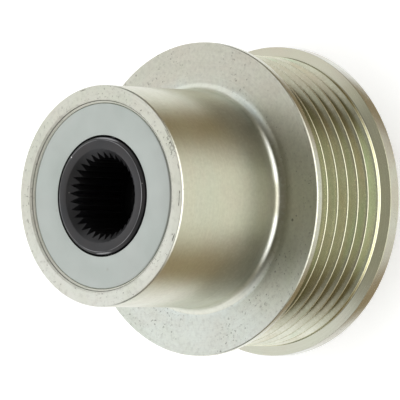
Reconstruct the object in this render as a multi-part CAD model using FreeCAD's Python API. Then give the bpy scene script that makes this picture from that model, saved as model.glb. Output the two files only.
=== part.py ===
import FreeCAD, Part

import math
import os

# Overrunning alternator pulley with a long neck, for a six-groove V-ribbed belt.
# Millimetres. Z is the axis. The rear face, at the alternator, is at z = 0 and the neck points up.

# Belt track, from the rear face upwards
groove_count = 6
groove_pitch = 3.56
flank_angle = 20.0
rib_tip_radius = 0.25
groove_bottom_radius = 0.5
rib_diameter = 67.6
flange_height = 2.3
flange_face_run = 0.9
rear_rim_width = 3.2
rear_land_width = 0.7
front_land_width = 0.24
front_rim_width = 1.7
flange_edge_chamfer = 0.35

# Neck
neck_length = 33.0
neck_wall = 4.0
neck_fillet = 1.5
neck_edge_chamfer = 0.4

# Bore through the pulley and its mouths
bore_mouth_chamfer = 1.0

# Cover plates pressed in both mouths
plate_recess = 0.9
plate_thickness = 1.0
plate_skirt_depth = 3.6
plate_edge_round = 0.25
plate_hole_gap = 0.55

# Rubber seals behind the plates
seal_thickness = 1.1
seal_width = 4.2
seal_lip_thickness = 0.5
seal_lip_depth = 0.8
seal_running_gap = 0.15

# Ball bearings, one at each end
bearing_section = 8.5
bearing_width = 9.0
ball_diameter = 4.76
ball_count = 11
ball_gap = 0.08
race_gap = 2.9
race_chamfer = 0.3
cage_gap = 0.3
pocket_gap = 0.12
cage_base_depth = 3.3
cage_prong_height = 1.3
cage_slot_width = 1.6

# One-way clutch between the bearings
cam_floor_wall = 1.08
roller_count = 10
roller_diameter = 4.0
roller_race_gap = 0.12
roller_ramp_gap = 0.03
ramp_angle = 8.0
ramp_length = 9.0
ramp_start = 4.6
cam_wall = 2.5
washer_thickness = 0.8
washer_race_gap = 0.5
clutch_cage_end_gap = 0.4
clutch_cage_gap = 0.3
clutch_cage_end_ring = 4.0
window_side_gap = 0.15
spring_space = 2.3
spring_thickness = 0.15
spring_side_gap = 0.12
spring_length = 9.0

# Black hub sleeve on the alternator's shaft
hub_face_recess = 0.25
hub_rear_recess = 0.3
hub_lip_wall = 0.75
hub_edge_chamfer = 0.28
sleeve_wall = 2.1
socket_mouth_margin = 0.8
serration_root_diameter = 20.0
serration_depth = 1.4
serration_count = 33
serration_flat_share = 0.09
serration_length = 14.0
relief_depth = 0.4
relief_length = 3.0
thread_diameter = 16.0
thread_depth = 0.81
thread_length = 16.0
clearance_bore_margin = 0.3
pilot_bore_margin = 0.5
pilot_bore_length = 11.0
thread_lead_in = 0.9
pilot_chamfer = 0.6

# Radii of the sleeve, from its bore outwards, and of what sits on it
serration_root_radius = serration_root_diameter / 2
serration_tip_radius = serration_root_radius - serration_depth
socket_mouth_radius = serration_root_radius + socket_mouth_margin
relief_radius = serration_root_radius + relief_depth
thread_core_radius = thread_diameter / 2 - thread_depth
clearance_radius = thread_diameter / 2 + clearance_bore_margin
pilot_radius = thread_diameter / 2 + pilot_bore_margin
seat_radius = relief_radius + sleeve_wall
bore_radius = seat_radius + bearing_section
neck_radius = bore_radius + neck_wall
hub_lip_radius = seat_radius + hub_lip_wall
plate_hole_radius = hub_lip_radius + plate_hole_gap
seal_inner_radius = hub_lip_radius + seal_running_gap

# Belt track and heights along the axis
rib_radius = rib_diameter / 2
flange_radius = rib_radius + flange_height
track_width = groove_count * groove_pitch
belt_part_length = (rear_rim_width + flange_face_run + rear_land_width + track_width
                    + front_land_width + flange_face_run + front_rim_width)
total_length = belt_part_length + neck_length
first_groove_z = rear_rim_width + flange_face_run + rear_land_width + groove_pitch / 2

bearing_depth = plate_recess + plate_skirt_depth
rear_bearing_z = bearing_depth
front_bearing_z = total_length - bearing_depth - bearing_width
clutch_z = rear_bearing_z + bearing_width
clutch_length = front_bearing_z - clutch_z
hub_top = total_length - hub_face_recess
hub_bottom = hub_rear_recess
hub_lip_z = front_bearing_z + bearing_width

# Balls and races
ball_radius = ball_diameter / 2
pitch_radius = (seat_radius + bore_radius) / 2
inner_shoulder_radius = pitch_radius - race_gap / 2
outer_shoulder_radius = pitch_radius + race_gap / 2

# Clutch, from the sleeve outwards
ramp_slope = math.tan(math.radians(ramp_angle))
roller_radius = roller_diameter / 2
ramp_foot_radius = seat_radius + cam_floor_wall
roller_track_radius = (ramp_foot_radius + ramp_start * ramp_slope
                       + (roller_radius + roller_ramp_gap) / math.cos(math.radians(ramp_angle)))
clutch_race_radius = roller_track_radius + roller_radius + roller_race_gap
cam_radius = seat_radius + cam_wall
cam_length = clutch_length - 2 * washer_thickness
washer_radius = clutch_race_radius - washer_race_gap
clutch_cage_length = cam_length - 2 * clutch_cage_end_gap
clutch_cage_inner_radius = cam_radius + clutch_cage_gap
clutch_cage_outer_radius = clutch_race_radius - clutch_cage_gap
window_length = clutch_cage_length - 2 * clutch_cage_end_ring
roller_length = window_length - 2 * window_side_gap

FULL_TURN = 360.0
AXIS_POINT = FreeCAD.Vector(0, 0, 0)
AXIS = FreeCAD.Vector(0, 0, 1)


def at(radius, z):
    return FreeCAD.Vector(radius, 0, z)


def around(index, count):
    return FULL_TURN * index / count


def revolve_edges(edges):
    face = Part.Face(Part.Wire(edges))
    return face.revolve(AXIS_POINT, AXIS, FULL_TURN)


def revolve(outline):
    """Ring turned from a closed outline of (radius, z) corners."""
    corners = [at(radius, z) for radius, z in outline]
    face = Part.Face(Part.makePolygon(corners + corners[:1]))
    return face.revolve(AXIS_POINT, AXIS, FULL_TURN)


def cylinder(radius, bottom, top):
    return Part.makeCylinder(radius, top - bottom, at(0, bottom), AXIS)


def tube(inner, outer, bottom, top, chamfer=0.0):
    """Plain ring, with its four edges chamfered where a chamfer is given."""
    if chamfer == 0.0:
        return revolve([(inner, bottom), (outer, bottom), (outer, top), (inner, top)])
    return revolve([
        (inner + chamfer, bottom), (outer - chamfer, bottom),
        (outer, bottom + chamfer), (outer, top - chamfer),
        (outer - chamfer, top), (inner + chamfer, top),
        (inner, top - chamfer), (inner, bottom + chamfer)])


def turned(shape, degrees):
    copy = shape.copy()
    copy.rotate(AXIS_POINT, AXIS, degrees)
    return copy


def ring_of(shape, count):
    return [turned(shape, around(index, count)) for index in range(count)]


def prism(points, bottom, top):
    """Upright prism over a closed outline of (x, y) corners."""
    corners = [FreeCAD.Vector(x, y, bottom) for x, y in points]
    face = Part.Face(Part.makePolygon(corners + corners[:1]))
    return face.extrude(FreeCAD.Vector(0, 0, top - bottom))


def mirrored_ends(shape):
    """The same piece seen from the other end of the pulley."""
    return shape.mirror(at(0, total_length / 2), AXIS)


def export(shape, node):
    shape.exportStep(os.path.join("parts", node + ".step"))


# Pulley body

def line(start, end):
    return Part.LineSegment(start, end).toShape()


def arc(start, middle, end):
    return Part.Arc(start, middle, end).toShape()


def track_edges():
    """Grooves and ribs from the rear land's corner to the front land's corner."""
    angle = math.radians(flank_angle)
    tip_drop = rib_tip_radius * (1 - math.sin(angle))
    tip_half = rib_tip_radius * math.cos(angle)
    bottom_rise = groove_bottom_radius * (1 - math.sin(angle))
    bottom_half = groove_bottom_radius * math.cos(angle)
    flank_depth = (groove_pitch / 2 - tip_half - bottom_half) / math.tan(angle)
    flank_top = rib_radius - tip_drop
    flank_foot = flank_top - flank_depth
    bottom = flank_foot - bottom_rise
    half_turn = (math.pi / 2 + angle) / 2
    tip_centre = rib_radius - rib_tip_radius
    edges = []
    place = at(rib_radius, rear_rim_width + flange_face_run)
    for index in range(groove_count):
        centre = first_groove_z + index * groove_pitch
        low = centre - groove_pitch / 2
        high = centre + groove_pitch / 2
        if index == 0:
            land_end = at(rib_radius, low)
            edges.append(line(place, land_end))
            shoulder = at(tip_centre + rib_tip_radius * math.sin(half_turn),
                          low + rib_tip_radius * math.cos(half_turn))
            place = at(flank_top, low + tip_half)
            edges.append(arc(land_end, shoulder, place))
        foot = at(flank_foot, centre - bottom_half)
        edges.append(line(place, foot))
        other_foot = at(flank_foot, centre + bottom_half)
        edges.append(arc(foot, at(bottom, centre), other_foot))
        place = at(flank_top, high - tip_half)
        edges.append(line(other_foot, place))
        if index < groove_count - 1:
            next_flank = at(flank_top, high + tip_half)
            edges.append(arc(place, at(rib_radius, high), next_flank))
            place = next_flank
        else:
            shoulder = at(tip_centre + rib_tip_radius * math.sin(half_turn),
                          high - rib_tip_radius * math.cos(half_turn))
            land_start = at(rib_radius, high)
            edges.append(arc(place, shoulder, land_start))
            edges.append(line(land_start, at(rib_radius, high + front_land_width)))
    return edges


def make_pulley_body():
    front_face = belt_part_length
    rear_corner = at(rib_radius, rear_rim_width + flange_face_run)
    front_corner = at(rib_radius, front_face - front_rim_width - flange_face_run)
    rear_side = [
        at(bore_radius + bore_mouth_chamfer, 0),
        at(flange_radius - flange_edge_chamfer, 0),
        at(flange_radius, flange_edge_chamfer),
        at(flange_radius, rear_rim_width),
        rear_corner]
    front_side = [
        front_corner,
        at(flange_radius, front_face - front_rim_width),
        at(flange_radius, front_face - flange_edge_chamfer),
        at(flange_radius - flange_edge_chamfer, front_face),
        at(neck_radius + neck_fillet, front_face)]
    fillet_end = at(neck_radius, front_face + neck_fillet)
    fillet_middle = at(neck_radius + neck_fillet * (1 - math.sqrt(0.5)),
                       front_face + neck_fillet * (1 - math.sqrt(0.5)))
    neck_side = [
        fillet_end,
        at(neck_radius, total_length - neck_edge_chamfer),
        at(neck_radius - neck_edge_chamfer, total_length),
        at(bore_radius + bore_mouth_chamfer, total_length),
        at(bore_radius, total_length - bore_mouth_chamfer),
        at(bore_radius, bore_mouth_chamfer),
        rear_side[0]]
    edges = [line(start, end) for start, end in zip(rear_side, rear_side[1:])]
    edges += track_edges()
    edges += [line(start, end) for start, end in zip(front_side, front_side[1:])]
    edges.append(arc(front_side[-1], fillet_middle, fillet_end))
    edges += [line(start, end) for start, end in zip(neck_side, neck_side[1:])]
    return revolve_edges(edges)


# Covers and seals

def make_front_cover_plate():
    """Pressed cup: a flat disc with a hole, and a skirt that is pressed in the bore."""
    face = total_length - plate_recess
    inner = bore_radius - plate_thickness
    return revolve([
        (plate_hole_radius, face),
        (plate_hole_radius, face - plate_thickness),
        (inner, face - plate_thickness),
        (inner, face - plate_skirt_depth),
        (bore_radius, face - plate_skirt_depth),
        (bore_radius, face - plate_edge_round),
        (bore_radius - plate_edge_round, face)])


def make_front_seal():
    """Rubber ring bonded behind the plate, with a thin lip towards the sleeve."""
    top = total_length - plate_recess - plate_thickness
    foot = seal_inner_radius + seal_lip_depth
    return revolve([
        (seal_inner_radius, top - seal_thickness - seal_lip_depth),
        (seal_inner_radius + seal_lip_thickness, top - seal_thickness - seal_lip_depth),
        (foot + seal_lip_thickness, top - seal_thickness),
        (seal_inner_radius + seal_width, top - seal_thickness),
        (seal_inner_radius + seal_width, top),
        (foot, top),
        (foot, top - seal_lip_thickness),
        (seal_inner_radius, top - seal_thickness)])


# Bearings

def ball_track(centre_z):
    return Part.makeTorus(pitch_radius, ball_radius + ball_gap, at(0, centre_z), AXIS)


def make_inner_race(bottom):
    ring = tube(seat_radius, inner_shoulder_radius, bottom, bottom + bearing_width, race_chamfer)
    return ring.cut(ball_track(bottom + bearing_width / 2))


def make_outer_race(bottom):
    ring = tube(outer_shoulder_radius, bore_radius, bottom, bottom + bearing_width, race_chamfer)
    return ring.cut(ball_track(bottom + bearing_width / 2))


def make_balls(centre_z):
    ball = Part.makeSphere(ball_radius, at(pitch_radius, centre_z))
    return Part.makeCompound(ring_of(ball, ball_count))


def make_ball_cage(centre_z):
    """Crown cage: a base ring below the balls, with prongs that hold them from the sides."""
    inner = inner_shoulder_radius + cage_gap
    outer = outer_shoulder_radius - cage_gap
    cage = tube(inner, outer, centre_z - cage_base_depth, centre_z + cage_prong_height)
    reach = outer + cage_gap
    pocket = Part.makeCylinder(ball_radius + pocket_gap, reach, at(0, centre_z), FreeCAD.Vector(1, 0, 0))
    slot = Part.makeBox(reach, cage_slot_width, 2 * cage_prong_height,
                        FreeCAD.Vector(0, -cage_slot_width / 2, centre_z))
    slots = turned(slot, around(0.5, ball_count))
    return cage.cut(ring_of(pocket, ball_count) + ring_of(slots, ball_count))


# Clutch

def make_clutch_outer_race():
    return tube(clutch_race_radius, bore_radius, clutch_z, clutch_z + clutch_length, race_chamfer)


def make_cam_ring():
    """Ring with one flat ramp for each roller, like a ratchet wheel."""
    bottom = clutch_z + washer_thickness
    top = bottom + cam_length
    ring = tube(seat_radius, cam_radius, bottom, top)
    low = ramp_foot_radius
    high = ramp_foot_radius + ramp_length * ramp_slope
    outside = high + cam_wall
    ramp = prism([(low, -ramp_start), (high, ramp_length - ramp_start),
                  (outside, ramp_length - ramp_start), (outside, -ramp_start)], bottom, top)
    return ring.cut(ring_of(ramp, roller_count))


def make_rollers():
    bottom = clutch_z + (clutch_length - roller_length) / 2
    roller = Part.makeCylinder(roller_radius, roller_length, at(roller_track_radius, bottom), AXIS)
    return Part.makeCompound(ring_of(roller, roller_count))


def window_back():
    return roller_radius + window_side_gap + spring_space


def make_clutch_cage():
    """Moulded cage with a window for each roller and its spring."""
    bottom = clutch_z + (clutch_length - clutch_cage_length) / 2
    cage = tube(clutch_cage_inner_radius, clutch_cage_outer_radius, bottom, bottom + clutch_cage_length)
    width = window_back() + roller_radius + window_side_gap
    window = Part.makeBox(clutch_race_radius, width, window_length,
                          FreeCAD.Vector(0, -window_back(), bottom + clutch_cage_end_ring))
    return cage.cut(ring_of(window, roller_count))


def ribbon(points, thickness):
    """Outline of a thin strip that is folded along a line of (x, y) points."""
    left = []
    right = []
    for index, (x, y) in enumerate(points):
        before = points[max(index - 1, 0)]
        after = points[min(index + 1, len(points) - 1)]
        first = math.atan2(y - before[1], x - before[0])
        second = math.atan2(after[1] - y, after[0] - x)
        if index == 0:
            first = second
        if index == len(points) - 1:
            second = first
        middle = (first + second) / 2
        reach = thickness / 2 / math.cos((second - first) / 2)
        left.append((x - reach * math.sin(middle), y + reach * math.cos(middle)))
        right.append((x + reach * math.sin(middle), y - reach * math.cos(middle)))
    return left + right[::-1]


def make_springs():
    """Folded leaf springs that push the rollers up their ramps."""
    near = -roller_radius - window_side_gap - spring_side_gap
    far = -window_back() + spring_side_gap + spring_thickness
    low = clutch_cage_inner_radius + clutch_cage_gap
    high = math.sqrt(clutch_cage_outer_radius ** 2 - window_back() ** 2) - clutch_cage_gap
    step = (near - far) / 4
    folds = [(low, far), (high, far + step), (low, far + 2 * step),
             (high, far + 3 * step), (low, near)]
    bottom = clutch_z + (clutch_length - spring_length) / 2
    spring = prism(ribbon(folds, spring_thickness), bottom, bottom + spring_length)
    return Part.makeCompound(ring_of(spring, roller_count))


def make_side_washer(bottom):
    return tube(seat_radius, washer_radius, bottom, bottom + washer_thickness)


# Hub sleeve

def serration_outline():
    """Cross-section of the socket: triangular teeth that point inwards."""
    flat = serration_flat_share * FULL_TURN / serration_count / 2
    points = []
    for index in range(serration_count):
        root_angle = around(index, serration_count)
        tip_angle = around(index + 0.5, serration_count)
        for radius, angle in ((serration_root_radius, root_angle - flat),
                              (serration_root_radius, root_angle + flat),
                              (serration_tip_radius, tip_angle - flat),
                              (serration_tip_radius, tip_angle + flat)):
            turn = math.radians(angle)
            points.append((radius * math.cos(turn), radius * math.sin(turn)))
    return points


def make_hub_sleeve():
    body = revolve([
        (pilot_radius + pilot_chamfer, hub_bottom),
        (seat_radius - hub_edge_chamfer, hub_bottom),
        (seat_radius, hub_bottom + hub_edge_chamfer),
        (seat_radius, hub_lip_z),
        (hub_lip_radius, hub_lip_z),
        (hub_lip_radius, hub_top - hub_edge_chamfer),
        (hub_lip_radius - hub_edge_chamfer, hub_top),
        (socket_mouth_radius, hub_top),
        (0, hub_top - socket_mouth_radius),
        (0, hub_bottom + pilot_radius + pilot_chamfer)])
    countersink_depth = socket_mouth_radius - serration_tip_radius
    serration_bottom = hub_top - countersink_depth - serration_length
    relief_bottom = serration_bottom - relief_length
    pilot_top = hub_bottom + pilot_bore_length
    thread_top = pilot_top + thread_length
    socket = prism(serration_outline(), serration_bottom, total_length)
    relief = cylinder(relief_radius, relief_bottom, serration_bottom)
    bore = revolve([
        (0, hub_bottom),
        (pilot_radius, hub_bottom),
        (pilot_radius, pilot_top - thread_lead_in),
        (thread_core_radius, pilot_top - thread_lead_in + pilot_radius - thread_core_radius),
        (thread_core_radius, thread_top - thread_lead_in),
        (clearance_radius, thread_top - thread_lead_in + clearance_radius - thread_core_radius),
        (clearance_radius, relief_bottom),
        (0, relief_bottom)])
    return body.cut([socket, relief, bore])


def make_rear_collar():
    """Collar pressed on the sleeve: it holds the rear bearing and the rear seal runs on it."""
    return tube(seat_radius, hub_lip_radius, hub_bottom, rear_bearing_z)


os.makedirs("parts", exist_ok=True)

front_cover_plate = make_front_cover_plate()
front_seal = make_front_seal()
rear_ball_z = rear_bearing_z + bearing_width / 2
rear_ball_cage = make_ball_cage(rear_ball_z)

export(make_pulley_body(), "pulley_body")
export(front_cover_plate, "front_cover_plate")
export(front_seal, "front_seal")
export(make_outer_race(front_bearing_z), "front_bearing_outer_race")
export(make_inner_race(front_bearing_z), "front_bearing_inner_race")
export(make_balls(front_bearing_z + bearing_width / 2), "front_bearing_balls")
export(mirrored_ends(rear_ball_cage), "front_bearing_cage")
export(make_clutch_outer_race(), "clutch_outer_race")
export(make_cam_ring(), "clutch_cam_ring")
export(make_rollers(), "clutch_rollers")
export(make_clutch_cage(), "clutch_cage")
export(make_springs(), "clutch_springs")
export(make_side_washer(front_bearing_z - washer_thickness), "front_side_washer")
export(make_side_washer(clutch_z), "rear_side_washer")
export(make_outer_race(rear_bearing_z), "rear_bearing_outer_race")
export(make_inner_race(rear_bearing_z), "rear_bearing_inner_race")
export(make_balls(rear_ball_z), "rear_bearing_balls")
export(rear_ball_cage, "rear_bearing_cage")
export(mirrored_ends(front_seal), "rear_seal")
export(mirrored_ends(front_cover_plate), "rear_cover_plate")
export(make_hub_sleeve(), "hub_sleeve")
export(make_rear_collar(), "rear_collar")
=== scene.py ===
import math

import bpy
from mathutils import Matrix, Vector


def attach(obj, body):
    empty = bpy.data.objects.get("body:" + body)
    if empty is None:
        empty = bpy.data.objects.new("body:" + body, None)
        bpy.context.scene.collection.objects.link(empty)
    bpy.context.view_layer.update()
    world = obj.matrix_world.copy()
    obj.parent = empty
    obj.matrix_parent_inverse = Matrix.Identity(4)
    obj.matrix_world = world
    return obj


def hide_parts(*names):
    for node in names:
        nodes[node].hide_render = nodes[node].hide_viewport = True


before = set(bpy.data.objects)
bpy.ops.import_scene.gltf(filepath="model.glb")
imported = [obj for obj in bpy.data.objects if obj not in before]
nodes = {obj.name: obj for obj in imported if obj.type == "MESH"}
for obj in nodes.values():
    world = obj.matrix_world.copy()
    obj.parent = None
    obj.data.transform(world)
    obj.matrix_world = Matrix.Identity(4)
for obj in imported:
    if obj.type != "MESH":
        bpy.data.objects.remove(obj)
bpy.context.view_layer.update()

# Sizes in millimetres. A few differ from the solids by tenths, as the photograph shows them.
# Everything in the scene is in metres.
MM = 0.001
total_length = 62.0
flange_radius = 36.1
rib_radius = 33.8
neck_radius = 25.0
bore_radius = 21.0
seat_radius = 12.5

groove_count = 6
groove_pitch = 3.56
flank_angle = math.radians(20)
rib_tip_radius = 0.25
groove_bottom_radius = 0.5
rear_rim_width = 3.2
flange_face_run = 0.9
rear_land_width = 0.7
front_rim_width = 1.7
flange_chamfer = 0.35
front_flange_drop = 0.175
neck_chamfer_run = 0.42
neck_chamfer_drop = 0.21
neck_fillet = 2.3
mouth_chamfer = 1.0
mouth_chamfer_depth = 0.8
mouth_line_radius = 21.5
mouth_line_width = 0.14
mouth_line_depth = 0.196
belt_part_length = 29.0

plate_recess = 0.6
plate_thickness = 1.0
plate_skirt_depth = 3.9
plate_edge_round = 0.5
plate_hole_round = 0.12
plate_hole_radius = 13.7

hub_bottom = 0.3
hub_top = 61.95
hub_lip_radius = 13.25
hub_lip_z = 57.5
hub_chamfer = 0.46
hub_edge_run = 0.56
# Radius of the lighter line on the sleeve's face, which is wear and a painted highlight.
rubbed_highlight_radius = 12.62
mouth_radius = 10.7
mouth_slope = 1.0
serration_root = 9.95
serration_tip = 8.65
serration_count = 33
serration_flat = math.radians(0.49)
serration_bottom = 45.55
relief_radius = 10.4
relief_bottom = 42.55
clearance_radius = 8.3
thread_pitch = 1.5
thread_core = 7.19
thread_root = 8.0
thread_top = 26.4
thread_root_share = 0.125
thread_flank_share = 0.625
pilot_radius = 8.5
pilot_top = 10.4
pilot_chamfer = 0.6
collar_top = 4.5

edge_round = 0.12
rear_land_round = 0.85
fine_round = 0.06
mouth_edge_drop = 0.024

# How finely the meshes are divided.
round_steps = 4
rib_tip_steps = 4
groove_bottom_steps = 6
fillet_steps = 10
cone_steps = 4
tooth_flank_steps = 4
thread_rows = 114
serration_depths = (0.04, 0.5, 1.0)
body_segments = 288
plate_segments = 192
sharp_angle = math.radians(32)
FULL_TURN = 2 * math.pi


# Meshes of turned pieces

def arc_points(centre, radius, start, end, steps):
    """Points of an arc in the (radius, height) plane; angles from the outward direction."""
    points = []
    for step in range(steps + 1):
        angle = start + (end - start) * step / steps
        points.append((centre[0] + radius * math.cos(angle), centre[1] + radius * math.sin(angle)))
    return points


def rounded(corners):
    """Closed outline of (radius, height, round) corners, with each corner rounded off.

    A rounding takes at most 0.9 of the side before it and 0.45 of the side after it.
    """
    points = []
    count = len(corners)
    for index, (r, z, size) in enumerate(corners):
        here = Vector((r, z))
        if size == 0:
            points.append((r, z))
            continue
        before = Vector(corners[index - 1][:2])
        after = Vector(corners[(index + 1) % count][:2])
        into = (before - here).normalized()
        out = (after - here).normalized()
        half = into.angle(out) / 2
        most_before = 0.9 * (before - here).length
        most_after = 0.45 * (after - here).length
        reach = min(size / math.tan(half), most_before, most_after)
        start = here + into * reach
        end = here + out * reach
        for step in range(round_steps + 1):
            t = step / round_steps
            point = start * (1 - t) ** 2 + here * 2 * t * (1 - t) + end * t ** 2
            points.append((point.x, point.y))
    return points


def ring_mesh(name, rings):
    """Mesh of rings of points, in millimetres, joined one to the next and the last to the first."""
    vertices = []
    for ring in rings:
        vertices += [(x * MM, y * MM, z * MM) for x, y, z in ring]
    around = len(rings[0])
    faces = []
    for row in range(len(rings)):
        here = row * around
        there = (row + 1) % len(rings) * around
        for column in range(around):
            after = (column + 1) % around
            faces.append((here + column, here + after, there + after, there + column))
    mesh = bpy.data.meshes.new(name)
    mesh.from_pydata(vertices, [], faces)
    mesh.validate()
    mesh.shade_smooth()
    mesh.set_sharp_from_angle(angle=sharp_angle)
    piece = bpy.data.objects.new(name, mesh)
    bpy.context.scene.collection.objects.link(piece)
    return piece


def circle(radius, height, segments):
    """Points of a level circle round the axis."""
    ring = []
    for index in range(segments):
        angle = FULL_TURN * index / segments
        ring.append((radius * math.cos(angle), radius * math.sin(angle), height))
    return ring


def turned_piece(name, outline, segments=body_segments):
    """Piece turned from a closed (radius, height) outline that runs outwards along its bottom."""
    return ring_mesh(name, [circle(r, z, segments) for r, z in outline])


def mirrored(outline):
    """The same outline at the other end of the pulley."""
    return [(r, total_length - z) for r, z in reversed(outline)]


def track_outline():
    """Ribs and grooves from the rear land to the front land."""
    tip_half = rib_tip_radius * math.cos(flank_angle)
    tip_centre = rib_radius - rib_tip_radius
    bottom_half = groove_bottom_radius * math.cos(flank_angle)
    flank_top = tip_centre + rib_tip_radius * math.sin(flank_angle)
    flank_depth = (groove_pitch / 2 - tip_half - bottom_half) / math.tan(flank_angle)
    bottom_centre = flank_top - flank_depth + groove_bottom_radius * math.sin(flank_angle)
    track_start = rear_rim_width + flange_face_run + rear_land_width
    turn = math.pi / 2 - flank_angle
    points = [(rib_radius, track_start)]
    for index in range(groove_count):
        low = track_start + index * groove_pitch
        high = low + groove_pitch
        centre = (low + high) / 2
        points += arc_points((tip_centre, low), rib_tip_radius, 0, turn, rib_tip_steps)[1:]
        points += arc_points((bottom_centre, centre), groove_bottom_radius,
                             math.pi + turn, math.pi - turn, groove_bottom_steps)
        points += arc_points((tip_centre, high), rib_tip_radius, -turn, 0, rib_tip_steps)
    return points


def body_outline():
    """Body of the pulley, from the rear face over the track to the neck and its bore."""
    front = belt_part_length
    start = [
        (bore_radius, mouth_chamfer, fine_round),
        (bore_radius + mouth_chamfer, 0, fine_round),
        (flange_radius - flange_chamfer, 0, edge_round),
        (flange_radius, flange_chamfer, edge_round),
        (flange_radius, rear_rim_width, edge_round),
        (rib_radius, rear_rim_width + flange_face_run, rear_land_round)]
    track = [(r, z, 0) for r, z in track_outline()]
    end = [
        (rib_radius, front - front_rim_width - flange_face_run, fine_round),
        (flange_radius, front - front_rim_width, edge_round),
        (flange_radius, front - flange_chamfer, edge_round),
        (flange_radius - front_flange_drop, front, edge_round)]
    fillet = arc_points((neck_radius + neck_fillet, front + neck_fillet), neck_fillet,
                        math.radians(270), math.radians(180), fillet_steps)
    line_height = total_length - (bore_radius + mouth_chamfer - mouth_line_radius) * mouth_chamfer_depth
    half_line = mouth_line_width / 2
    neck = [
        (neck_radius, total_length - neck_chamfer_run, edge_round),
        (neck_radius - neck_chamfer_drop, total_length, edge_round),
        (bore_radius + mouth_chamfer, total_length, fine_round),
        (mouth_line_radius + half_line, line_height + half_line, 0),
        (mouth_line_radius, line_height - mouth_line_depth, 0),
        (mouth_line_radius - half_line, line_height - half_line, 0),
        (bore_radius, total_length - mouth_chamfer * mouth_chamfer_depth, fine_round)]
    return rounded(start + track + end + [(r, z, 0) for r, z in fillet] + neck)


def plate_outline():
    """Pressed plate in the mouth of the neck, with its skirt in the bore."""
    face = total_length - plate_recess
    inner = bore_radius - plate_thickness
    return rounded([
        (plate_hole_radius, face - plate_thickness, fine_round),
        (inner, face - plate_thickness, fine_round),
        (inner, face - plate_skirt_depth, fine_round),
        (bore_radius, face - plate_skirt_depth, fine_round),
        (bore_radius, face, plate_edge_round),
        (plate_hole_radius, face, plate_hole_round)])


# Hub sleeve: rings that follow the serration and the thread

def serration_columns():
    """(angle, radius) of points around the serrated hole."""
    tooth = FULL_TURN / serration_count
    columns = []
    for index in range(serration_count):
        root_angle = index * tooth
        tip_angle = root_angle + tooth / 2
        corners = [
            (root_angle - serration_flat, serration_root),
            (root_angle + serration_flat, serration_root),
            (tip_angle - serration_flat, serration_tip),
            (tip_angle + serration_flat, serration_tip),
            (root_angle + tooth - serration_flat, serration_root)]
        for (angle, radius), (next_angle, next_radius) in zip(corners, corners[1:]):
            steps = 1 if radius == next_radius else tooth_flank_steps
            for step in range(steps):
                t = step / steps
                x = radius * math.cos(angle) * (1 - t) + next_radius * math.cos(next_angle) * t
                y = radius * math.sin(angle) * (1 - t) + next_radius * math.sin(next_angle) * t
                columns.append((math.atan2(y, x), math.hypot(x, y)))
    return columns


def thread_radius(angle, z):
    """Radius of the threaded wall, with the cones that lead into it at both ends."""
    phase = (z / thread_pitch - angle / FULL_TURN) % 1
    rise = min(phase, 1 - phase) * 2
    height = min(max((rise - thread_root_share) / thread_flank_share, 0), 1)
    wall = thread_root - (thread_root - thread_core) * height
    top_cone = z - thread_top + thread_core
    bottom_cone = pilot_radius - (z - pilot_top)
    return max(wall, top_cone, bottom_cone)


def sleeve_rings():
    """Rings of the sleeve: up its outside, then down through mouth, serration, relief and thread."""
    columns = serration_columns()
    angles = [angle for angle, radius in columns]

    def plain(radius, z):
        return [(radius * math.cos(a), radius * math.sin(a), z) for a in angles]

    outside = rounded([
        (pilot_radius, pilot_top, 0),
        (pilot_radius, hub_bottom + pilot_chamfer, fine_round),
        (pilot_radius + pilot_chamfer, hub_bottom, fine_round),
        (seat_radius - hub_chamfer, hub_bottom, fine_round),
        (seat_radius, hub_bottom + hub_chamfer, fine_round),
        (seat_radius, hub_lip_z, 0),
        (hub_lip_radius, hub_lip_z, fine_round),
        (hub_lip_radius, hub_top - hub_chamfer, fine_round),
        (hub_lip_radius - hub_edge_run, hub_top, fine_round),
        (mouth_radius + fine_round, hub_top, 0)])
    rings = [plain(r, z) for r, z in outside]
    for step in range(cone_steps + 1):
        t = step / cone_steps
        ring = []
        for angle, wall in columns:
            radius = mouth_radius + (wall - mouth_radius) * t
            z = hub_top - (mouth_radius - radius) * mouth_slope - mouth_edge_drop * (1 - t)
            ring.append((radius * math.cos(angle), radius * math.sin(angle), z))
        rings.append(ring)
    for depth in serration_depths:
        ring = []
        for angle, wall in columns:
            start = hub_top - (mouth_radius - wall) * mouth_slope
            z = start + (serration_bottom - start) * depth
            ring.append((wall * math.cos(angle), wall * math.sin(angle), z))
        rings.append(ring)
    rings.append(plain(relief_radius, serration_bottom))
    rings.append(plain(relief_radius, relief_bottom))
    rings.append(plain(clearance_radius, relief_bottom))
    thread_start = thread_top + clearance_radius - thread_core
    for row in range(thread_rows + 1):
        z = thread_start + (pilot_top - thread_start) * row / thread_rows
        ring = []
        for angle in angles:
            radius = thread_radius(angle, z)
            ring.append((radius * math.cos(angle), radius * math.sin(angle), z))
        rings.append(ring)
    return rings


def collar_outline():
    """Collar on the sleeve's rear end."""
    return rounded([
        (seat_radius, hub_bottom, fine_round),
        (hub_lip_radius, hub_bottom, edge_round),
        (hub_lip_radius, collar_top, fine_round),
        (seat_radius, collar_top, fine_round)])


# Materials

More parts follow.
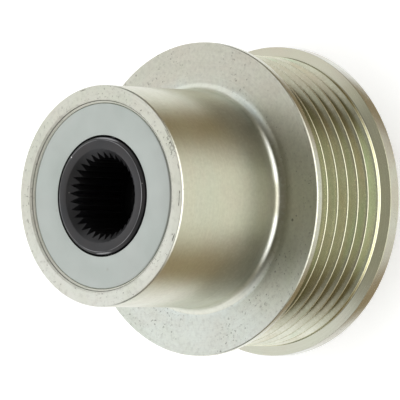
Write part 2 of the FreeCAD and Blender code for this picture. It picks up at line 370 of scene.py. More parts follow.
class Graph:
    """Short ways to add and join the nodes of one material."""

    def __init__(self, tree):
        self.tree = tree
        tree.nodes.clear()

    def add(self, kind, inputs=(), **settings):
        node = self.tree.nodes.new(kind)
        for key, value in settings.items():
            setattr(node, key, value)
        for key, value in dict(inputs).items():
            self.put(node.inputs[key], value)
        return node

    def put(self, socket, value):
        if isinstance(value, bpy.types.NodeSocket):
            self.tree.links.new(value, socket)
        else:
            socket.default_value = value

    def math(self, operation, first, second=0.0, clamp=False):
        node = self.add("ShaderNodeMath", {0: first, 1: second}, operation=operation, use_clamp=clamp)
        return node.outputs[0]

    def times(self, *values):
        """Product of masks and shares."""
        product = values[0]
        for value in values[1:]:
            product = self.math("MULTIPLY", product, value)
        return product

    def between(self, value, start, end, at_start=0.0, at_end=1.0):
        """Mask that goes evenly from one level at the start to another at the end."""
        node = self.add("ShaderNodeMapRange", {"Value": value, "From Min": start, "From Max": end,
                                               "To Min": at_start, "To Max": at_end})
        return node.outputs["Result"]

    def mix(self, share, first, second):
        """First colour where the share is 0, second where it is 1."""
        node = self.add("ShaderNodeMix", data_type="RGBA", clamp_factor=True)
        self.put(node.inputs["Factor"], share)
        self.put(node.inputs[6], first)
        self.put(node.inputs[7], second)
        return node.outputs[2]


def colour(r, g, b):
    return (r, g, b, 1.0)


def grey(level):
    return colour(level, level, level)


# Colours of the body and of the marks on it, among them colours of painted light and shade

pale_rim = colour(0.59, 0.595, 0.49)
olive = colour(0.53, 0.535, 0.39)
slope_olive_and_light = colour(0.71, 0.71, 0.50)
last_groove_green_and_light = colour(0.70, 0.78, 0.57)
groove_green = colour(0.45, 0.56, 0.37)
groove_brown = colour(0.56, 0.49, 0.33)
painted_shade_umber = colour(0.40, 0.36, 0.24)
flange_painted_shade = colour(0.53, 0.49, 0.38)
shelf_painted_shade = colour(0.32, 0.30, 0.20)
corner_painted_shade = colour(0.27, 0.265, 0.185)
glint_pale = colour(0.92, 0.94, 0.88)
neck_painted_shade = colour(0.33, 0.305, 0.235)
face_painted_shade = colour(0.58, 0.56, 0.48)
rim_brown = colour(0.54, 0.48, 0.37)
rib_painted_highlight = colour(0.84, 0.83, 0.62)
pale_face = colour(0.67, 0.675, 0.60)
fillet_painted_reflection = colour(0.66, 0.73, 0.69)
mouth_painted_highlight = colour(0.93, 0.93, 0.85)
painted_highlight_side = colour(0.86, 0.87, 0.75)
painted_light_pale = colour(0.86, 0.88, 0.84)
face_painted_light = colour(0.80, 0.86, 0.82)
golden = colour(0.62, 0.62, 0.465)
end_face = colour(0.665, 0.67, 0.585)
cloud_tan = colour(0.62, 0.56, 0.45)
rainbow_green = colour(0.56, 0.60, 0.48)
patch_tan = colour(0.60, 0.52, 0.42)
patch_green = colour(0.56, 0.60, 0.44)
line_brown = colour(0.25, 0.22, 0.15)
mouth_line_darkening = colour(0.2, 0.19, 0.16)
skin_dark = colour(0.34, 0.33, 0.26)
skin_light = colour(0.85, 0.85, 0.72)
mottle_grey = colour(0.36, 0.35, 0.31)
pit_dark = colour(0.10, 0.09, 0.07)

# What changes along the body, as (height in mm, colour or level) stops
zinc_tints = [
    (0, pale_rim), (3.1, pale_rim), (3.25, pale_rim), (4.1, pale_rim),
    (4.8, olive), (27.3, olive), (27.5, pale_rim), (28.7, pale_rim),
    (29.2, pale_face), (33.5, golden), (61.4, golden), (61.6, end_face)]
zinc_roughness = [
    (0, 0.22), (3.2, 0.22), (3.6, 0.2), (27.0, 0.2), (28.6, 0.22), (29.02, 0.4),
    (29.2, 0.31), (30.5, 0.34), (40, 0.34), (46, 0.305), (61.3, 0.3), (61.7, 0.31)]
zinc_speckle = [
    (0, 1.0), (0.1, 0.6), (3.2, 0.3), (3.6, 0.0), (27.3, 0.0),
    (28.9, 1.0), (29.05, 1.0), (29.3, 0.0), (61.3, 0.1), (61.7, 1.0)]
mouth_roughness = 0.32

# Marks on the faces: dents as (place, size), nicks as (turn, radius, length, width)
dents = [((-22.35, -8.95, total_length), 0.3), ((-27.88, 8.47, belt_part_length), 0.42)]
loop_mark = (-22.88, -7.69, total_length)
loop_outside = 0.85
loop_inside = 0.55
nicks = [
    (171.0, 24.05, 1.8, 0.12), (174.5, 24.15, 0.4, 0.18), (168.0, 24.0, 0.5, 0.16), (150.0, 24.3, 1.1, 0.2),
    (201.0, 24.4, 1.0, 0.12), (207.0, 24.5, 1.6, 0.08), (188.0, 24.5, 0.7, 0.1), (6.9, 23.1, 0.6, 0.13),
    (338.3, 24.0, 0.3, 0.12), (357.0, 22.3, 0.4, 0.12), (276.0, 24.5, 1.0, 0.1)]

# Colours and marks of the front plate and the sleeve, among them painted highlights, glints and shade on the
# sleeve
plate_grey = colour(0.475, 0.515, 0.478)
plate_light = colour(0.498, 0.528, 0.494)
plate_stain = colour(0.35, 0.33, 0.28)
oxide_black = colour(0.026, 0.027, 0.029)
oxide_brown = colour(0.034, 0.031, 0.031)
# Painted shade deep in the socket.
socket_painted_shade = colour(0.012, 0.012, 0.013)
bare_spots = colour(0.3, 0.28, 0.26)
# Lighter line on the sleeve's face edge: wear and a painted highlight.
rubbed_edge_highlight = colour(0.3, 0.3, 0.31)
# Painted glints on the sleeve's edges, as (turn, radius, length, width).
edge_glint_grey = colour(0.32, 0.32, 0.33)
sleeve_edge_glints = [(256, 13.1, 4.0, 0.3), (87, 13.1, 2.6, 0.3), (172, 12.66, 5.0, 0.08)]
# Painted glint: a light dot on the sleeve's face.
painted_glint_dot = (7.9, -9.85, hub_top)
painted_glint_dot_size = 0.24

# The side of the part that is uppermost in the picture, as a direction around the axis.
picture_up_angle = math.radians(-97.5)
picture_up = (math.cos(picture_up_angle), math.sin(picture_up_angle), 0)


class Turned(Graph):
    """Graph with the coordinates of a turned piece: radius and height in mm, and the way round.

    upward is 1 on the side that is uppermost in the picture and -1 on the lowest one. flank is its size,
    0 on the two sides that lie level with the axis.
    """

    def __init__(self, tree):
        super().__init__(tree)
        self.position = self.add("ShaderNodeTexCoord").outputs["Object"]
        parts = self.add("ShaderNodeSeparateXYZ", {0: self.position})
        flat = self.add("ShaderNodeCombineXYZ", {0: parts.outputs[0], 1: parts.outputs[1]})
        length = self.add("ShaderNodeVectorMath", {0: flat.outputs[0]}, operation="LENGTH").outputs["Value"]
        way = self.add("ShaderNodeVectorMath", {0: flat.outputs[0]}, operation="NORMALIZE").outputs[0]
        way_parts = self.add("ShaderNodeSeparateXYZ", {0: way})
        self.radius = self.math("MULTIPLY", length, 1 / MM)
        self.height = self.math("MULTIPLY", parts.outputs[2], 1 / MM)
        self.way_x = way_parts.outputs[0]
        self.way_y = way_parts.outputs[1]
        share_up = self.add("ShaderNodeVectorMath", {0: way, 1: picture_up}, operation="DOT_PRODUCT")
        self.upward = share_up.outputs["Value"]
        self.flank = self.math("ABSOLUTE", self.upward)

    def lathe_noise(self, fineness, sweep, detail=3.0):
        """Noise drawn out around the axis: fineness is lines per mm, sweep how fast it changes around."""
        across = self.math("MULTIPLY", self.radius, fineness)
        along = self.math("MULTIPLY", self.height, fineness)
        side = self.math("MULTIPLY", self.way_x, sweep)
        other = self.math("MULTIPLY", self.way_y, sweep)
        vector = self.add("ShaderNodeCombineXYZ", {0: across, 1: along, 2: side}).outputs[0]
        noise = self.add("ShaderNodeTexNoise", {"Vector": vector, "W": other, "Scale": 1.0,
                                                "Detail": detail, "Roughness": 0.6},
                         noise_dimensions="4D")
        return noise.outputs["Fac"]

    def along(self, stops):
        """Colour that follows the height, from (height in mm, colour or level) stops."""
        ramp = self.add("ShaderNodeValToRGB", {"Fac": self.between(self.height, 0, total_length)})
        places = []
        for z, tint in stops:
            if not isinstance(tint, tuple):
                tint = grey(tint)
            places.append((z / total_length, tint))
        fill_ramp(ramp, places, "LINEAR")
        return ramp.outputs["Color"]

    def near(self, value, middle, reach):
        """1 where a value is close to the middle, 0 beyond the reach."""
        away = self.math("ABSOLUTE", self.math("SUBTRACT", value, middle))
        return self.between(away, reach, reach * 0.5)

    def spot(self, place, size):
        """1 at a place given in mm, falling to 0 at that size."""
        centre = tuple(value * MM for value in place)
        away = self.add("ShaderNodeVectorMath", {0: self.position, 1: centre}, operation="DISTANCE")
        return self.between(away.outputs["Value"], size * MM, size * MM * 0.5)

    def stroke(self, turn, radius, long, wide):
        """1 on a mark drawn out around the axis on the front face; turn in degrees, sizes in mm."""
        angle = math.radians(turn)
        across = self.math("MULTIPLY", self.math("SUBTRACT", self.radius, radius), 1 / wide)
        sine = self.math("SUBTRACT", self.math("MULTIPLY", self.way_y, math.cos(angle)),
                         self.math("MULTIPLY", self.way_x, math.sin(angle)))
        along = self.math("MULTIPLY", sine, radius / long)
        square = self.math("ADD", self.math("MULTIPLY", across, across), self.math("MULTIPLY", along, along))
        near = self.between(square, 1.0, 0.4)
        ahead = self.math("ADD", self.math("MULTIPLY", self.way_x, math.cos(angle)),
                          self.math("MULTIPLY", self.way_y, math.sin(angle)))
        on_this_side = self.between(ahead, 0.4, 0.5)
        on_front_face = self.between(self.height, 61.5, 61.7)
        return self.times(near, on_this_side, on_front_face)

    def cloud(self, per_metre, detail=4.0, distortion=0.0):
        """Even noise, with about that many patches in a metre."""
        noise = self.add("ShaderNodeTexNoise", {"Vector": self.position, "Scale": per_metre,
                                                "Detail": detail, "Roughness": 0.55,
                                                "Distortion": distortion})
        return noise.outputs["Fac"]

    def specks(self, per_metre, size, share):
        """Small round spots: 1 at their middle, on that share of the cells."""
        cells = self.add("ShaderNodeTexVoronoi", {"Vector": self.position, "Scale": per_metre,
                                                  "Randomness": 1.0})
        near = self.between(cells.outputs["Distance"], size, size * 0.4)
        chance = self.add("ShaderNodeSeparateColor", {0: cells.outputs["Color"]}).outputs[0]
        kept = self.math("LESS_THAN", chance, share)
        return self.times(near, kept)


def fill_ramp(node, stops, interpolation="EASE"):
    """Sets a colour ramp's stops from (place, colour) pairs."""
    ramp = node.color_ramp
    ramp.interpolation = interpolation
    while len(ramp.elements) < len(stops):
        ramp.elements.new(0.5)
    for element, (place, tint) in zip(ramp.elements, stops):
        element.position = place
        element.color = tint


def finish(graph, base, roughness, bumps, metallic=1.0):
    """Shader and output of a material. The bumps are (height, strength, depth in mm) layers."""
    normal = None
    for height, strength, depth in bumps:
        bump = graph.add("ShaderNodeBump", {"Height": height, "Strength": strength, "Distance": depth * MM})
        if normal is not None:
            graph.put(bump.inputs["Normal"], normal)
        normal = bump.outputs["Normal"]
    shader = graph.add("ShaderNodeBsdfPrincipled")
    graph.put(shader.inputs["Base Color"], base)
    graph.put(shader.inputs["Roughness"], roughness)
    graph.put(shader.inputs["Metallic"], metallic)
    graph.put(shader.inputs["Normal"], normal)
    output = graph.add("ShaderNodeOutputMaterial")
    graph.put(output.inputs["Surface"], shader.outputs[0])


def new_material(name):
    material = bpy.data.materials.new(name)
    material.use_nodes = True
    return material


# Looks of the body, many of them painted light and shade. Each mask is made of ranges of radius and height
# in mm, or of upward and flank.

def mouth_highlight_and_roughness(g, tint, rough):
    """Dull chamfer in the neck's mouth, lightened as a painted highlight, and darker in its turned line."""
    mouth = g.times(g.between(g.radius, 22.05, 21.9), g.between(g.height, 60.9, 61.1))
    line_darkening = g.times(g.near(g.radius, mouth_line_radius, 0.12), mouth, 0.7)
    # Painted highlight on the mouth chamfer.
    tint = g.mix(mouth, tint, mouth_painted_highlight)
    tint = g.mix(line_darkening, tint, mouth_line_darkening)
    return tint, g.math("ADD", rough, g.times(mouth, mouth_roughness))


def front_flange_tints(g, tint, front):
    """Painted light and shade on the front flange: a painted bluish reflection round the neck's foot, a
    lighter bluish lower half and a darker beige upper half of the flange's face.
    """
    inner_face = g.between(g.radius, 29.2, 26.8)
    under_neck = g.between(g.height, 37, 30)
    above_and_below = g.between(g.flank, 0.35, 0.8)
    cloudy = g.between(g.cloud(110), 0.38, 0.58, at_start=0.3)
    # Painted bluish reflection on the flange's face round the neck's foot, above and below it.
    tint = g.mix(g.times(inner_face, under_neck, above_and_below, cloudy), tint, fillet_painted_reflection)
    lower_half = g.between(g.upward, -0.1, -0.9, at_end=0.6)
    upper_half = g.between(g.upward, 0.3, 1.0, at_end=0.5)
    # Painted light on the lower half of the face, painted shade on its upper half.
    tint = g.mix(g.times(lower_half, front), tint, face_painted_light)
    return g.mix(g.times(upper_half, front), tint, face_painted_shade)


def end_tints(g, tint):
    """Painted light and shade: lighter lower halves of the rear rim and the neck's end, a darker upper half
    of the rear flange with a darker painted patch, and a lighter painted patch on the rear rim's upper side.
    """
    rear_end = g.between(g.height, 3.3, 3.1)
    front_end = g.between(g.height, 61.4, 61.6)
    ends = g.math("ADD", rear_end, front_end, clamp=True)
    lower_half = g.between(g.upward, 0.0, -0.9, at_end=0.4)
    # Painted light: lighter lower halves of the ends.
    tint = g.mix(g.times(lower_half, ends), tint, painted_light_pale)
    flange_face = g.near(g.height, 3.65, 0.7)
    upper_half = g.between(g.upward, 0.2, 0.7, at_end=0.7)
    # Painted shade on the rear flange's upper half and in a patch; painted light in a patch on the rear rim.
    tint = g.mix(g.times(upper_half, flange_face), tint, flange_painted_shade)
    painted_shade_patch = g.times(g.near(g.upward, 0.6, 0.22), flange_face, 0.7)
    tint = g.mix(painted_shade_patch, tint, painted_shade_umber)
    painted_light_patch = g.times(g.near(g.upward, 0.68, 0.35), g.between(g.height, 3.2, 2.9), 0.6)
    return g.mix(painted_light_patch, tint, painted_light_pale)


def side_tints(g, tint, front):
    """Painted highlights: pale strips along the turned sides, at the top and bottom of the picture."""
    top = g.between(g.upward, 0.74, 0.94, at_end=0.45)
    bottom = g.between(g.upward, -0.72, -0.9, at_end=0.75)
    strips = g.math("ADD", top, bottom)
    below_end = g.between(g.height, 61.3, 61.1)
    above_rim = g.between(g.height, 4.4, 4.7)
    off_front = g.math("SUBTRACT", 1.0, front)
    return g.mix(g.times(strips, below_end, above_rim, off_front), tint, painted_highlight_side)


def foot_tints(g, tint, level_sides):
    """Painted shade: a dark ring in the corner at the neck's foot, broken by two painted glints on each
    side.
    """
    ring = g.times(g.between(g.radius, 28.8, 26.4), g.between(g.radius, 25.45, 25.65),
                   g.between(g.height, 31.0, 30.2))
    tint = g.mix(g.times(ring, level_sides), tint, corner_painted_shade)
    corner = g.times(g.between(g.radius, 25.6, 25.45), g.between(g.height, 31.3, 30.9))
    middle = g.between(g.flank, 0.2, 0.1, at_end=0.5)
    tint = g.mix(g.times(corner, middle), tint, corner_painted_shade)
    glints = g.times(g.between(g.flank, 0.12, 0.22), g.between(g.flank, 0.62, 0.5))
    return g.mix(g.times(corner, glints, 0.9), tint, glint_pale)


def neck_shades(g, tint):
    """Painted shade on the neck: a cloudy brown band, and two brown strips that fade away from its foot."""
    band = g.times(g.near(g.flank, 0.58, 0.35), g.between(g.height, 55, 42), g.between(g.height, 31, 33))
    cloudy = g.between(g.cloud(100), 0.35, 0.6, at_start=0.7)
    tint = g.mix(g.times(band, cloudy, 0.5), tint, neck_painted_shade)
    upper_strip = g.times(g.between(g.upward, 0.45, 0.65), g.between(g.upward, 0.92, 0.8))
    lower_strip = g.times(g.between(g.upward, -0.5, -0.7, at_end=0.7), g.between(g.upward, -0.93, -0.82))
    strips = g.math("ADD", upper_strip, lower_strip)
    toward_foot = g.times(g.between(g.height, 47, 37), g.between(g.height, 29.6, 31.0))
    return g.mix(g.times(strips, toward_foot, 0.6), tint, neck_painted_shade)


def track_tints(g, tint, level_sides):
    """Tints of the rear flange, the grooves and the rib tips: their own green and brown bands and stains,
    with painted light on the slope, the rib tips and the last groove, and painted shade on the flanks that
    face the neck and in the upper grooves.
    """
    # Olive slope of the rear flange, lightened on the level sides as painted light.
    slope = g.times(g.near(g.height, 3.75, 1.0), level_sides)
    tint = g.mix(slope, tint, slope_olive_and_light)
    track = g.times(g.between(g.radius, 33.8, 33.6), g.between(g.height, 4.0, 4.4),
                    g.between(g.height, 26.8, 26.4))
    bands = g.lathe_noise(0.3, 2.2, 2.0)
    green_bands = g.between(bands, 0.5, 0.66, at_end=0.7)
    brown_bands = g.between(bands, 0.46, 0.32, at_end=0.6)
    tint = g.mix(g.times(green_bands, track), tint, groove_green)
    tint = g.mix(g.times(brown_bands, track), tint, groove_brown)
    # Painted shade on the flanks that face the neck.
    normal = g.add("ShaderNodeNewGeometry").outputs["Normal"]
    normal_height = g.add("ShaderNodeSeparateXYZ", {0: normal}).outputs[2]
    facing_neck = g.between(normal_height, 0.4, 0.85)
    off_level = g.between(g.flank, 0.35, 0.6, at_start=0.2, at_end=0.8)
    off_top = g.between(g.flank, 0.92, 0.76)
    tint = g.mix(g.times(facing_neck, track, off_level, off_top), tint, shelf_painted_shade)
    # Painted highlight on the rib tips.
    tips = g.times(g.near(g.radius, rib_radius, 0.14), g.between(g.height, 27.0, 26.4))
    tint = g.mix(tips, tint, rib_painted_highlight)
    rim_stain = g.times(g.between(g.cloud(75, 3.0, 0.8), 0.46, 0.62), g.between(g.height, 3.3, 2.9), 0.4)
    tint = g.mix(rim_stain, tint, rim_brown)
    # Painted shade in the grooves near the top of the picture.
    upper_grooves = g.times(g.between(g.upward, 0.7, 0.86), g.between(g.upward, 0.985, 0.95), track, 0.5)
    tint = g.mix(upper_grooves, tint, painted_shade_umber)
    # Green of the last groove, lightened on the level sides as painted light.
    last_groove = g.times(g.near(g.height, 5.9, 2.2), g.between(g.flank, 0.6, 0.45), track, 0.75)
    return g.mix(last_groove, tint, last_groove_green_and_light)


def passivation_clouds(g, tint, speckled, lines):
    """Slow changes of the tint over the whole body, its turned lines and its fine skin."""
    tan_clouds = g.between(g.cloud(60), 0.4, 0.68, at_end=0.35)
    tint = g.mix(tan_clouds, tint, g.mix(0.5, tint, cloud_tan))
    rainbow = g.between(g.lathe_noise(0.16, 1.4, 2.0), 0.5, 0.7, at_end=0.3)
    tint = g.mix(rainbow, tint, rainbow_green)
    patches = g.cloud(150, 3.0, 0.6)
    tan_patches = g.between(patches, 0.48, 0.68, at_end=0.3)
    green_patches = g.between(patches, 0.5, 0.34, at_end=0.3)
    tint = g.mix(tan_patches, tint, g.mix(0.5, tint, patch_tan))
    tint = g.mix(green_patches, tint, g.mix(0.5, tint, patch_green))
    tint = g.mix(g.between(lines, 0.3, 0.75, at_end=0.14), tint, line_brown)
    skin = g.cloud(1300, 3.0)
    skin_zone = g.times(g.between(g.height, 4, 5), g.between(g.height, 61.3, 60.8))
    dark_skin = g.times(g.between(skin, 0.5, 0.7, at_end=0.12), skin_zone)
    light_skin = g.times(g.between(skin, 0.5, 0.34, at_end=0.1), skin_zone)
    tint = g.mix(dark_skin, tint, skin_dark)
    tint = g.mix(light_skin, tint, skin_light)
    mottle = g.times(g.between(g.cloud(900, 3.0), 0.5, 0.75, at_end=0.3), speckled)
    return g.mix(mottle, tint, mottle_grey)


def body_pits(g, speckled):
    """1 in the pits, dents and nicks of the faces."""
    cluster = g.between(g.cloud(90, 3.0), 0.42, 0.62)
    small = g.times(g.between(g.cloud(1700, 1.5), 0.63, 0.71), cluster, 0.8)
    ragged = g.between(g.cloud(2400, 2.0), 0.3, 0.7, at_start=-0.1, at_end=0.12)
    large = g.times(g.specks(360, 0.11, 0.8), g.between(ragged, -0.02, 0.05))
    pits = g.times(g.math("MAXIMUM", small, large), speckled)
    for place, size in dents:
        pits = g.math("MAXIMUM", pits, g.spot(place, size))
    loop = g.math("SUBTRACT", g.spot(loop_mark, loop_outside), g.spot(loop_mark, loop_inside))
    pits = g.math("MAXIMUM", pits, g.times(loop, 0.7))
    for turn, radius, long, wide in nicks:
        pits = g.math("MAXIMUM", pits, g.stroke(turn, radius, long, wide))
    return pits


def zinc():
    """Yellow passivated zinc: golden on the neck, olive in the grooves, pale on the faces, with painted
    light and shade laid over it.
    """
    material = new_material("body_zinc")
    g = Turned(material.node_tree)
    front = g.near(g.height, belt_part_length, 0.15)
    level_sides = g.between(g.flank, 0.75, 0.45)
    speckled = g.along(zinc_speckle)
    lines = g.lathe_noise(5.0, 0.5, 4.0)
    tint, rough = mouth_highlight_and_roughness(g, g.along(zinc_tints), g.along(zinc_roughness))
    tint = front_flange_tints(g, tint, front)
    tint = end_tints(g, tint)
    tint = side_tints(g, tint, front)
    tint = foot_tints(g, tint, level_sides)
    tint = neck_shades(g, tint)
    tint = track_tints(g, tint, level_sides)
    tint = passivation_clouds(g, tint, speckled, lines)
    pits = body_pits(g, speckled)
    tint = g.mix(g.times(pits, 0.75), tint, pit_dark)
    uneven = g.between(g.cloud(140), 0.3, 0.7, at_start=-0.02, at_end=0.03)
    rough = g.math("ADD", rough, uneven)
    rough = g.math("ADD", rough, g.times(pits, 0.2))
    waves = g.cloud(130, 1.0)
    grain = g.cloud(2600, 2.0)
    pit_height = g.math("SUBTRACT", 1.0, pits)
    bumps = [(waves, 0.2, 0.03), (lines, 0.2, 0.01), (grain, 0.25, 0.006), (pit_height, 0.8, 0.02)]
    finish(g, tint, rough, bumps)
    return material


def plate_steel():
    """Smooth pressed plate with a bluish cast."""
    material = new_material("plate_steel")
    g = Turned(material.node_tree)
    tint = g.mix(g.between(g.cloud(70), 0.35, 0.65), plate_grey, plate_light)
    stains = g.specks(420, 0.2, 0.05)
    tint = g.mix(g.times(stains, 0.25), tint, plate_stain)
    roughness = g.between(g.cloud(300), 0.3, 0.7, at_start=0.34, at_end=0.42)
    grain = g.cloud(3200, 3.0)
    finish(g, tint, roughness, [(grain, 0.3, 0.006)])
    return material


def black_steel():
    """Black oxide, brown where it is thin, worn bare in tiny spots; a lighter line on its face's edge that
    is both wear and a painted highlight, painted glints on its edges and in one dot, and painted shade in
    the socket.
    """
    material = new_material("black_steel")
    g = Turned(material.node_tree)
    tint = g.mix(g.between(g.cloud(160), 0.35, 0.7), oxide_black, oxide_brown)
    bare = g.specks(700, 0.12, 0.03)
    tint = g.mix(bare, tint, bare_spots)
    # Lighter line on the face's edge: worn metal and a painted edge highlight.
    off_line = g.math("ABSOLUTE", g.math("SUBTRACT", g.radius, rubbed_highlight_radius))
    rubbed_highlight = g.times(g.between(off_line, 0.1, 0.03), g.between(g.height, 61.7, 61.8),
                     g.between(g.cloud(140), 0.35, 0.6))
    tint = g.mix(g.times(rubbed_highlight, 0.7), tint, rubbed_edge_highlight)
    # Painted glint: a light dot on the sleeve's face.
    tint = g.mix(g.spot(painted_glint_dot, painted_glint_dot_size), tint, grey(0.8))
    # Painted glints on the sleeve's edges.
    for turn, radius, long, wide in sleeve_edge_glints:
        tint = g.mix(g.stroke(turn, radius, long, wide), tint, edge_glint_grey)
    # Painted shade: darker deep in the socket and towards the top and bottom of the picture.
    deep = g.between(g.height, 61.0, 54.0, at_start=0.3, at_end=0.8)
    above_and_below = g.between(g.flank, 0.2, 0.7, at_start=0.3, at_end=0.8)
    in_socket = g.between(g.radius, 10.75, 10.6)
    tint = g.mix(g.times(g.math("MAXIMUM", deep, above_and_below), in_socket), tint, socket_painted_shade)
    roughness = g.between(g.cloud(400), 0.3, 0.7, at_start=0.32, at_end=0.45)
    lines = g.lathe_noise(6.0, 0.4, 3.0)
    grain = g.cloud(2400, 2.0)
    finish(g, tint, roughness, [(lines, 0.3, 0.01), (grain, 0.2, 0.006)], metallic=0.3)
    return material


def inner_steel(name, tint, rough, fineness):
    """Ground bearing steel or rolled strip."""
    material = new_material(name)
    g = Turned(material.node_tree)
    lines = g.lathe_noise(fineness, 0.4, 3.0)
    base = g.mix(g.between(lines, 0.3, 0.7, at_end=0.2), tint, grey(0.4))
    roughness = g.between(g.cloud(200), 0.3, 0.7, at_start=rough, at_end=rough + 0.08)
    finish(g, base, roughness, [(lines, 0.2, 0.004)])
    return material


def soft_material(name, tint, other, rough, bump):
    """Rubber or moulded plastic."""
    material = new_material(name)
    g = Turned(material.node_tree)
    base = g.mix(g.between(g.cloud(250), 0.35, 0.65), tint, other)
    roughness = g.between(g.cloud(500), 0.3, 0.7, at_start=rough - 0.06, at_end=rough + 0.06)
    grain = g.cloud(1800, 3.0)
    finish(g, base, roughness, [(grain, bump, 0.02)], metallic=0.0)
    return material


# Make the materials

body_zinc = zinc()
plate = plate_steel()
black = black_steel()
rubber = soft_material("seal_rubber", tint=colour(0.012, 0.012, 0.013), other=grey(0.02),
                       rough=0.6, bump=0.3)
polyamide = soft_material("polyamide", tint=colour(0.10, 0.07, 0.045), other=colour(0.14, 0.10, 0.06),
                          rough=0.5, bump=0.2)
bearing = inner_steel("bearing_steel", tint=grey(0.6), rough=0.2, fineness=5.0)
spring = inner_steel("spring_steel", tint=colour(0.5, 0.49, 0.47), rough=0.3, fineness=3.0)


# Build the pieces

def dress(piece, body, node, material):
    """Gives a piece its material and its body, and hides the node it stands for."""
    piece.data.materials.append(material)
    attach(piece, body)
    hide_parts(node)


dress(turned_piece("turned_body", body_outline()), "pulley", "pulley_body", body_zinc)
dress(turned_piece("front_plate", plate_outline(), plate_segments), "pulley", "front_cover_plate",
      plate)
dress(turned_piece("rear_plate", mirrored(plate_outline()), plate_segments), "pulley", "rear_cover_plate",
      plate)
dress(ring_mesh("socket_sleeve", sleeve_rings()), "hub", "hub_sleeve", black)
dress(turned_piece("collar", collar_outline(), plate_segments), "hub", "rear_collar", black)

node_materials = {
    "front_seal": rubber, "rear_seal": rubber,
    "front_bearing_cage": polyamide, "rear_bearing_cage": polyamide, "clutch_cage": polyamide,
    "clutch_springs": spring}
replaced = {"pulley_body", "front_cover_plate", "rear_cover_plate", "hub_sleeve", "rear_collar"}
for node_name, node in nodes.items():
    if node_name not in replaced:
        node.data.materials.clear()
        node.data.materials.append(node_materials.get(node_name, bearing))


# Floor, light and camera

floor_half_width = 2.0
floor_level = 0.85
floor_glow = 0.42
lamp_target_height = 0.03

# The tent around the pulley, in degrees: of turn away from the camera's side, and of rise above the floor.
camera_side = 173.6
front_peak = 2.8
front_levels = [
    (-90, 1.0), (-30, 1.0), (-18, 1.3), (-6, front_peak), (8, front_peak), (19, 1.3),
    (30, 0.3), (38, 0.35), (54, 0.45), (66, 0.25), (90, 0.3)]
screen_cover = [
    (0, 0.0), (24, 0.02), (42, 0.3), (58, 0.86), (70, 1.0),
    (87, 1.0), (98, 0.62), (110, 0.17), (124, 0.03), (150, 0.0)]
screen_lean = 24
back_share = [(0, 0.0), (80, 0.0), (120, 1.0), (180, 1.0)]
screen_low = colour(0.36, 0.28, 0.17)
screen_high = colour(0.22, 0.215, 0.195)
screen_dark = colour(0.08, 0.06, 0.04)
back_tint = colour(1.10, 1.11, 1.13)
gap_tint = colour(0.14, 0.15, 0.14)
cap_elevation = 86
cap_edge = 35
cap_full = 26
cap_tint = colour(0.35, 0.345, 0.325)


def seen_directly(g):
    """1 for rays that see the background straight, in a polished surface or through glass."""
    path = g.add("ShaderNodeLightPath")
    both = g.math("MAXIMUM", path.outputs["Is Camera Ray"], path.outputs["Is Glossy Ray"])
    return g.math("MAXIMUM", both, path.outputs["Is Transmission Ray"])


def make_floor():
    """Light grey floor with a glow of its own, not seen in polished surfaces."""
    half = floor_half_width
    corners = [(-half, -half, 0), (half, -half, 0), (half, half, 0), (-half, half, 0)]
    mesh = bpy.data.meshes.new("floor")
    mesh.from_pydata(corners, [], [(0, 1, 2, 3)])
    floor = bpy.data.objects.new("floor", mesh)
    bpy.context.scene.collection.objects.link(floor)
    material = new_material("floor")
    g = Graph(material.node_tree)
    strength = g.math("MULTIPLY", seen_directly(g), floor_glow)
    diffuse = g.add("ShaderNodeBsdfDiffuse", {"Color": grey(floor_level)})
    glow = g.add("ShaderNodeEmission", {"Color": grey(1.0), "Strength": strength})
    both = g.add("ShaderNodeAddShader")
    g.put(both.inputs[0], diffuse.outputs[0])
    g.put(both.inputs[1], glow.outputs[0])
    output = g.add("ShaderNodeOutputMaterial")
    g.put(output.inputs["Surface"], both.outputs[0])
    mesh.materials.append(material)
    floor.visible_glossy = False


def ramp_of(g, value, stops, low, high, top):
    """Grey ramp over stops of (degrees, level), from low to high degrees, scaled so that top is 1."""
    ramp = g.add("ShaderNodeValToRGB", {"Fac": g.between(value, low, high)})
    fill_ramp(ramp, [((degrees - low) / (high - low), grey(level / top)) for degrees, level in stops])
    return ramp.outputs["Color"]


def in_degrees(g, operation, value):
    """Angle of a cosine or sine."""
    return g.math("MULTIPLY", g.math(operation, value), 180 / math.pi)


def dot(g, first, second):
    return g.add("ShaderNodeVectorMath", {0: first, 1: second}, operation="DOT_PRODUCT").outputs["Value"]


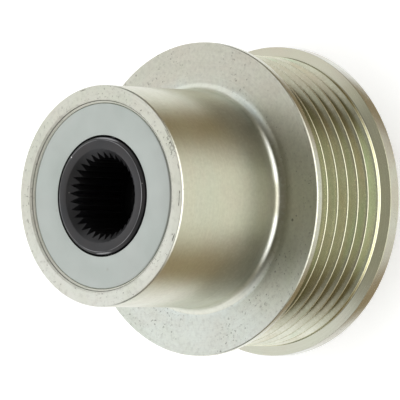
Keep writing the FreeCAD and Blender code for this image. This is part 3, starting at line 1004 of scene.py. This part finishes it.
def tent_tint(g):
    """Bright behind the pulley and low on the camera's side, darker screens to both sides, dim overhead."""
    direction = g.add("ShaderNodeTexCoord").outputs["Generated"]
    parts = g.add("ShaderNodeSeparateXYZ", {0: direction})
    flat = g.add("ShaderNodeCombineXYZ", {0: parts.outputs[0], 1: parts.outputs[1]})
    way = g.add("ShaderNodeVectorMath", {0: flat.outputs[0]}, operation="NORMALIZE").outputs[0]
    side = math.radians(camera_side)
    turn = in_degrees(g, "ARCCOSINE", dot(g, way, (math.cos(side), math.sin(side), 0)))
    rise = in_degrees(g, "ARCSINE", parts.outputs[2])

    front = g.add("ShaderNodeVectorMath", {0: ramp_of(g, rise, front_levels, -90, 90, front_peak)},
                  operation="SCALE")
    front.inputs["Scale"].default_value = front_peak
    tint = g.mix(ramp_of(g, turn, back_share, 0, 180, 1), front.outputs[0], back_tint)

    screen = g.mix(g.between(rise, -20, 20), screen_low, screen_high)
    screen = g.mix(g.between(dot(g, way, picture_up), -0.5, 1, at_end=0.2), screen, screen_dark)
    leaning = g.math("ADD", turn, g.between(rise, 5, 35, at_end=screen_lean))
    tint = g.mix(ramp_of(g, leaning, screen_cover, 0, 180, 1), tint, screen)

    gap_rise = g.times(g.between(rise, -40, -28), g.between(rise, 6, -6))
    gap_turn = g.times(g.between(turn, 88, 97), g.between(turn, 128, 117))
    tint = g.mix(g.times(gap_rise, gap_turn), tint, gap_tint)

    lean = math.radians(cap_elevation)
    cap = (math.cos(side) * math.cos(lean), math.sin(side) * math.cos(lean), math.sin(lean))
    from_cap = in_degrees(g, "ARCCOSINE", dot(g, direction, cap))
    return g.mix(g.between(from_cap, cap_edge, cap_full), tint, cap_tint)


def make_world():
    """Soft tent all around the pulley; the camera itself sees white."""
    world = bpy.data.worlds.new("studio")
    world.use_nodes = True
    bpy.context.scene.world = world
    g = Graph(world.node_tree)
    path = g.add("ShaderNodeLightPath")
    soft = g.add("ShaderNodeBackground", {"Color": tent_tint(g), "Strength": 1.0})
    white = g.add("ShaderNodeBackground", {"Color": grey(1.0), "Strength": 1.0})
    mix = g.add("ShaderNodeMixShader", {0: path.outputs["Is Camera Ray"]})
    g.put(mix.inputs[1], soft.outputs[0])
    g.put(mix.inputs[2], white.outputs[0])
    output = g.add("ShaderNodeOutputWorld")
    g.put(output.inputs["Surface"], mix.outputs[0])
    world.cycles.sampling_method = "NONE"


def softbox(name, azimuth, elevation, distance, width, height, power, tint):
    """Area lamp that faces the pulley's middle. Azimuth is counted from +X towards +Y."""
    data = bpy.data.lights.new(name, "AREA")
    data.shape = "RECTANGLE"
    data.size = width
    data.size_y = height
    data.energy = power
    data.color = tint
    lamp = bpy.data.objects.new(name, data)
    bpy.context.scene.collection.objects.link(lamp)
    a = math.radians(azimuth)
    e = math.radians(elevation)
    way = Vector((math.cos(a) * math.cos(e), math.sin(a) * math.cos(e), math.sin(e)))
    target = Vector((0, 0, lamp_target_height))
    lamp.location = target + way * distance
    lamp.rotation_euler = (-way).to_track_quat("-Z", "Y").to_euler()
    lamp.visible_glossy = False


# The camera sees the neck from its end. Its values come from a fit to the photograph: sizes in millimetres,
# the focal length in pixels of a 400 pixel wide image.
image_width = 400
focal_pixels = 4906
sensor_width = 36.0
neck_face_centre = Vector((-22.485, 0.941, -1103.65))
camera_yaw = 0.73262
camera_pitch = 0.02135
serration_turn = math.radians(6.4)


def make_camera():
    """Camera placed from where it sees the neck's end, and turned so that the serration fits."""
    axis = Vector((-math.sin(camera_yaw) * math.cos(camera_pitch), math.sin(camera_pitch),
                   math.cos(camera_yaw) * math.cos(camera_pitch)))
    left = (axis * axis.x - Vector((1, 0, 0))).normalized()
    down = axis.cross(left)
    x_axis = left * math.cos(serration_turn) + down * math.sin(serration_turn)
    y_axis = axis.cross(x_axis)
    to_frame = Matrix((x_axis, y_axis, axis))
    rear_face_centre = neck_face_centre - axis * total_length
    location = -(to_frame @ rear_face_centre)
    data = bpy.data.cameras.new("camera")
    data.sensor_fit = "HORIZONTAL"
    data.sensor_width = sensor_width
    data.lens = focal_pixels * sensor_width / image_width
    data.clip_start = 0.05
    data.clip_end = 20
    camera = bpy.data.objects.new("camera", data)
    bpy.context.scene.collection.objects.link(camera)
    camera.matrix_world = Matrix.Translation(location * MM) @ to_frame.to_4x4()
    bpy.context.scene.camera = camera


make_floor()
make_world()
make_camera()
softbox("overhead", azimuth=camera_side + 180, elevation=75, distance=0.9, width=0.8, height=0.8,
        power=4.0, tint=(1.0, 1.0, 1.0))

scene = bpy.context.scene
scene.view_settings.view_transform = "Standard"
